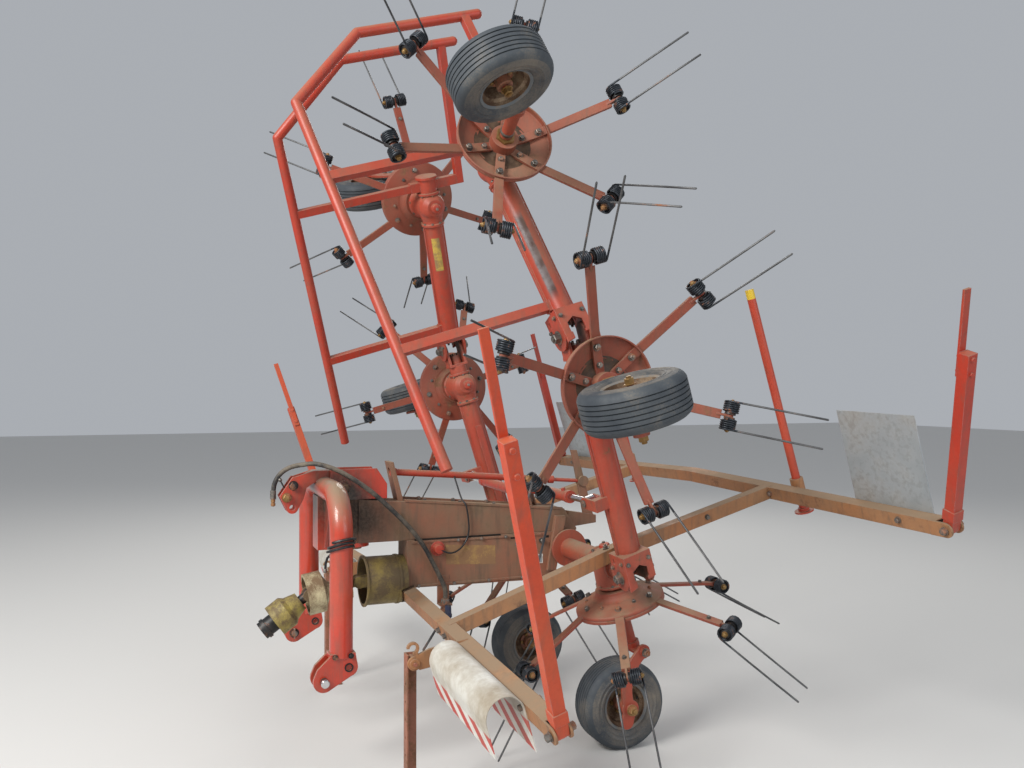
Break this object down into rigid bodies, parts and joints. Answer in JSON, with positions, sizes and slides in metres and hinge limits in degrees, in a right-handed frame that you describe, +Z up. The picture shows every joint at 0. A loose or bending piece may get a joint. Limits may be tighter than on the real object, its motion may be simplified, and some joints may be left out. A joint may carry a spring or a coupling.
{
  "type": "rotary hay tedder",
  "caption": "Tractor-mounted hay tedder with tined rotors on a hinged boom, its wings folded up over the centre frame, with guard bars, a swivelling headstock and a guarded drive shaft.",
  "frame": {"origin": "centre of the bottom face of the box around the parked machine, on the ground", "axes": "+Z up, -Y towards the tractor, +X the left side of the machine"},
  "size_m": [4.1022, 2.5008, 3.6368],
  "materials": {
    "beam_paint": "faded, rusty",
    "housing_paint": "faded pink, chalky",
    "boom_paint": "weathered, dusty",
    "headstock_paint": "glossy, chipped",
    "bar_paint": "sun-bleached orange",
    "post_paint": "satin",
    "hoop_paint": "satin, scratched",
    "rotor_paint": "brown-red, worn to rust",
    "tine_steel": "dark coils, worn prongs",
    "rim_paint": "dirty cream",
    "tyre": "ribbed, dusty",
    "panel": "galvanised and white",
    "pin_steel": "worn",
    "dark_steel": "greasy black",
    "guard_plastic": "olive yellow, dirty",
    "hose_rubber": "dusty",
    "barrel_paint": "satin",
    "rod_chrome": "polished"
  },
  "bodies": {
    "centre_frame": {"main_beam": "beam_paint", "drive_housing": "housing_paint", "centre_tube": "boom_paint", "legs_centre": "boom_paint", "guard_frame": "bar_paint", "signal_panels": "panel", "beam_fittings": "pin_steel", "shaft_drum": "guard_plastic", "hose": "hose_rubber"},
    "headstock": {"headstock": "headstock_paint", "hitch_pins": "pin_steel"},
    "drive_shaft": {"shaft_guard": "guard_plastic"},
    "shaft_tail": {"tail_guard": "guard_plastic", "shaft_yoke": "dark_steel"},
    "inner_wing_left": {"boom_inner_left": "boom_paint", "leg_inner_left": "boom_paint"},
    "outer_wing_left": {"boom_outer_left": "boom_paint", "guard_hoop_left": "hoop_paint", "leg_outer_left": "boom_paint"},
    "inner_wing_right": {"boom_inner_right": "boom_paint", "leg_inner_right": "boom_paint"},
    "outer_wing_right": {"boom_outer_right": "boom_paint", "guard_hoop_right": "hoop_paint", "leg_outer_right": "boom_paint"},
    "rotor_centre_left": {"rotor_disc_centre_left": "rotor_paint", "rotor_tines_centre_left": "tine_steel"},
    "wheel_centre_left": {"tyre_centre_left": "tyre", "rim_centre_left": "rim_paint"},
    "rotor_centre_right": {"rotor_disc_centre_right": "rotor_paint", "rotor_tines_centre_right": "tine_steel"},
    "wheel_centre_right": {"tyre_centre_right": "tyre", "rim_centre_right": "rim_paint"},
    "rotor_inner_left": {"rotor_disc_inner_left": "rotor_paint", "rotor_tines_inner_left": "tine_steel"},
    "wheel_inner_left": {"tyre_inner_left": "tyre", "rim_inner_left": "rim_paint"},
    "rotor_inner_right": {"rotor_disc_inner_right": "rotor_paint", "rotor_tines_inner_right": "tine_steel"},
    "wheel_inner_right": {"tyre_inner_right": "tyre", "rim_inner_right": "rim_paint"},
    "rotor_outer_left": {"rotor_disc_outer_left": "rotor_paint", "rotor_tines_outer_left": "tine_steel"},
    "wheel_outer_left": {"tyre_outer_left": "tyre", "rim_outer_left": "rim_paint"},
    "rotor_outer_right": {"rotor_disc_outer_right": "rotor_paint", "rotor_tines_outer_right": "tine_steel"},
    "wheel_outer_right": {"tyre_outer_right": "tyre", "rim_outer_right": "rim_paint"},
    "front_post_left": {"front_post_left": "post_paint"},
    "front_post_right": {"front_post_right": "post_paint"},
    "rear_post_left": {"rear_post_left": "bar_paint"},
    "rear_post_right": {"rear_post_right": "bar_paint"},
    "front_stand_left": {"front_stand_left": "bar_paint"},
    "parking_pole_left": {"parking_pole_left": "hoop_paint"},
    "front_stand_right": {"front_stand_right": "bar_paint"},
    "parking_pole_right": {"parking_pole_right": "hoop_paint"},
    "fold_barrel_left": {"fold_barrel_left": "barrel_paint"},
    "fold_rod_left": {"fold_rod_left": "rod_chrome"},
    "fold_barrel_right": {"fold_barrel_right": "barrel_paint"},
    "fold_rod_right": {"fold_rod_right": "rod_chrome"}
  },
  "joints": [
    {"name": "headstock_swivel", "type": "hinge", "parent": "centre_frame", "child": "headstock", "pos_m": [0, -0.79407, 1.0425], "axis": [0, 0, 1], "range_deg": [-15, 15]},
    {"name": "drive_shaft_joint", "type": "hinge", "parent": "centre_frame", "child": "drive_shaft", "pos_m": [0, -0.77907, 0.745], "axis": [-1, 0, 0], "range_deg": [-8, 10]},
    {"name": "shaft_tail_joint", "type": "hinge", "parent": "drive_shaft", "child": "shaft_tail", "pos_m": [0, -1.01542, 0.70332], "axis": [-1, 0, 0], "range_deg": [-4, 30]},
    {"name": "inner_fold_left", "type": "hinge", "parent": "centre_frame", "child": "inner_wing_left", "pos_m": [0.78, 0.28331, 0.85613], "axis": [0, 0.9563, 0.2924], "range_deg": [0, 88]},
    {"name": "outer_fold_left", "type": "hinge", "parent": "inner_wing_left", "child": "outer_wing_left", "pos_m": [0.81839, -0.03811, 1.90743], "axis": [0, 0.9563, 0.2924], "range_deg": [0, 24]},
    {"name": "inner_fold_right", "type": "hinge", "parent": "centre_frame", "child": "inner_wing_right", "pos_m": [-0.78, 0.28331, 0.85613], "axis": [0, -0.9563, -0.2924], "range_deg": [0, 88]},
    {"name": "outer_fold_right", "type": "hinge", "parent": "inner_wing_right", "child": "outer_wing_right", "pos_m": [-0.81839, -0.03811, 1.90743], "axis": [0, -0.9563, -0.2924], "range_deg": [0, 24]},
    {"name": "rotor_turn_centre_left", "type": "hinge", "parent": "centre_frame", "child": "rotor_centre_left", "pos_m": [0.55, 0.33593, 0.684], "axis": [0, -0.2924, 0.9563], "continuous": true},
    {"name": "wheel_turn_centre_left", "type": "hinge", "parent": "centre_frame", "child": "wheel_centre_left", "pos_m": [0.55, 0.33593, 0.203], "axis": [1, 0, 0], "continuous": true},
    {"name": "rotor_turn_centre_right", "type": "hinge", "parent": "centre_frame", "child": "rotor_centre_right", "pos_m": [-0.55, 0.33593, 0.684], "axis": [0, -0.2924, 0.9563], "continuous": true},
    {"name": "wheel_turn_centre_right", "type": "hinge", "parent": "centre_frame", "child": "wheel_centre_right", "pos_m": [-0.55, 0.33593, 0.203], "axis": [-1, 0, 0], "continuous": true},
    {"name": "rotor_turn_inner_left", "type": "hinge", "parent": "inner_wing_left", "child": "rotor_inner_left", "pos_m": [0.99025, 0.03094, 1.68161], "axis": [-0.9994, -0.0102, 0.0334], "continuous": true},
    {"name": "wheel_turn_inner_left", "type": "hinge", "parent": "inner_wing_left", "child": "wheel_inner_left", "pos_m": [1.44996, -0.09886, 1.62514], "axis": [0.0349, -0.2922, 0.9557], "continuous": true},
    {"name": "rotor_turn_inner_right", "type": "hinge", "parent": "inner_wing_right", "child": "rotor_inner_right", "pos_m": [-0.99025, 0.03094, 1.68161], "axis": [0.9994, -0.0102, 0.0334], "continuous": true},
    {"name": "wheel_turn_inner_right", "type": "hinge", "parent": "inner_wing_right", "child": "wheel_inner_right", "pos_m": [-1.44996, -0.09886, 1.62514], "axis": [-0.0349, -0.2922, 0.9557], "continuous": true},
    {"name": "rotor_turn_outer_left", "type": "hinge", "parent": "outer_wing_left", "child": "rotor_outer_left", "pos_m": [0.65938, -0.29366, 2.74331], "axis": [-0.9272, 0.1095, -0.3582], "continuous": true},
    {"name": "wheel_turn_outer_left", "type": "hinge", "parent": "outer_wing_left", "child": "wheel_outer_left", "pos_m": [1.08586, -0.47853, 2.86698], "axis": [-0.3746, -0.2711, 0.8867], "continuous": true},
    {"name": "rotor_turn_outer_right", "type": "hinge", "parent": "outer_wing_right", "child": "rotor_outer_right", "pos_m": [-0.65938, -0.29366, 2.74331], "axis": [0.9272, 0.1095, -0.3582], "continuous": true},
    {"name": "wheel_turn_outer_right", "type": "hinge", "parent": "outer_wing_right", "child": "wheel_outer_right", "pos_m": [-1.08586, -0.47853, 2.86698], "axis": [0.3746, -0.2711, 0.8867], "continuous": true},
    {"name": "front_post_left_hinge", "type": "hinge", "parent": "centre_frame", "child": "front_post_left", "pos_m": [1.72763, -0.52178, 0.59929], "axis": [0, 0.9563, 0.2924], "range_deg": [0, 75]},
    {"name": "front_post_right_hinge", "type": "hinge", "parent": "centre_frame", "child": "front_post_right", "pos_m": [-1.72763, -0.52178, 0.59929], "axis": [0, -0.9563, -0.2924], "range_deg": [0, 75]},
    {"name": "rear_post_left_hinge", "type": "hinge", "parent": "centre_frame", "child": "rear_post_left", "pos_m": [1.72924, 1.12403, 1.14347], "axis": [0, 0.9563, 0.2924], "range_deg": [0, 70]},
    {"name": "rear_post_right_hinge", "type": "hinge", "parent": "centre_frame", "child": "rear_post_right", "pos_m": [-1.72924, 1.12403, 1.14347], "axis": [0, -0.9563, -0.2924], "range_deg": [0, 93]},
    {"name": "front_stand_left_hinge", "type": "hinge", "parent": "centre_frame", "child": "front_stand_left", "pos_m": [0.85, -0.75407, 0.6], "axis": [-1, 0, 0], "range_deg": [0, 90]},
    {"name": "parking_pole_left_slide", "type": "slide", "parent": "centre_frame", "child": "parking_pole_left", "axis": [0, 0.2924, -0.9563], "range_m": [0, 0.9]},
    {"name": "front_stand_right_hinge", "type": "hinge", "parent": "centre_frame", "child": "front_stand_right", "pos_m": [-0.85, -0.75407, 0.6], "axis": [-1, 0, 0], "range_deg": [0, 90]},
    {"name": "parking_pole_right_slide", "type": "slide", "parent": "centre_frame", "child": "parking_pole_right", "axis": [0, 0.2924, -0.9563], "range_m": [0, 0.9]},
    {"name": "fold_barrel_pivot_left", "type": "hinge", "parent": "centre_frame", "child": "fold_barrel_left", "pos_m": [-0.06, 0.10931, 1.15847], "axis": [0, 0.9563, 0.2924], "range_deg": [0, 12.89]},
    {"name": "fold_rod_slide_left", "type": "slide", "parent": "fold_barrel_left", "child": "fold_rod_left", "axis": [0.9999, -0.005, 0.0162], "range_m": [0, 0.4542]},
    {"name": "fold_barrel_pivot_right", "type": "hinge", "parent": "centre_frame", "child": "fold_barrel_right", "pos_m": [0.06, 0.04811, 1.13976], "axis": [0, -0.9563, -0.2924], "range_deg": [0, 12.89]},
    {"name": "fold_rod_slide_right", "type": "slide", "parent": "fold_barrel_right", "child": "fold_rod_right", "axis": [-0.9999, -0.005, 0.0162], "range_m": [0, 0.4542]}
  ],
  "couplings": [
    {"joint": "fold_barrel_pivot_left", "follows": "inner_fold_left", "ratio": 0.14586},
    {"joint": "fold_rod_slide_left", "follows": "inner_fold_left", "m_per_rad": 0.29533},
    {"joint": "fold_barrel_pivot_right", "follows": "inner_fold_right", "ratio": 0.14586},
    {"joint": "fold_rod_slide_right", "follows": "inner_fold_right", "m_per_rad": 0.29533},
    {"joint": "rotor_turn_centre_right", "follows": "rotor_turn_centre_left", "ratio": -1},
    {"joint": "rotor_turn_inner_left", "follows": "rotor_turn_centre_left", "ratio": -1},
    {"joint": "rotor_turn_outer_left", "follows": "rotor_turn_centre_left", "ratio": 1},
    {"joint": "rotor_turn_inner_right", "follows": "rotor_turn_centre_left", "ratio": 1},
    {"joint": "rotor_turn_outer_right", "follows": "rotor_turn_centre_left", "ratio": -1}
  ]
}
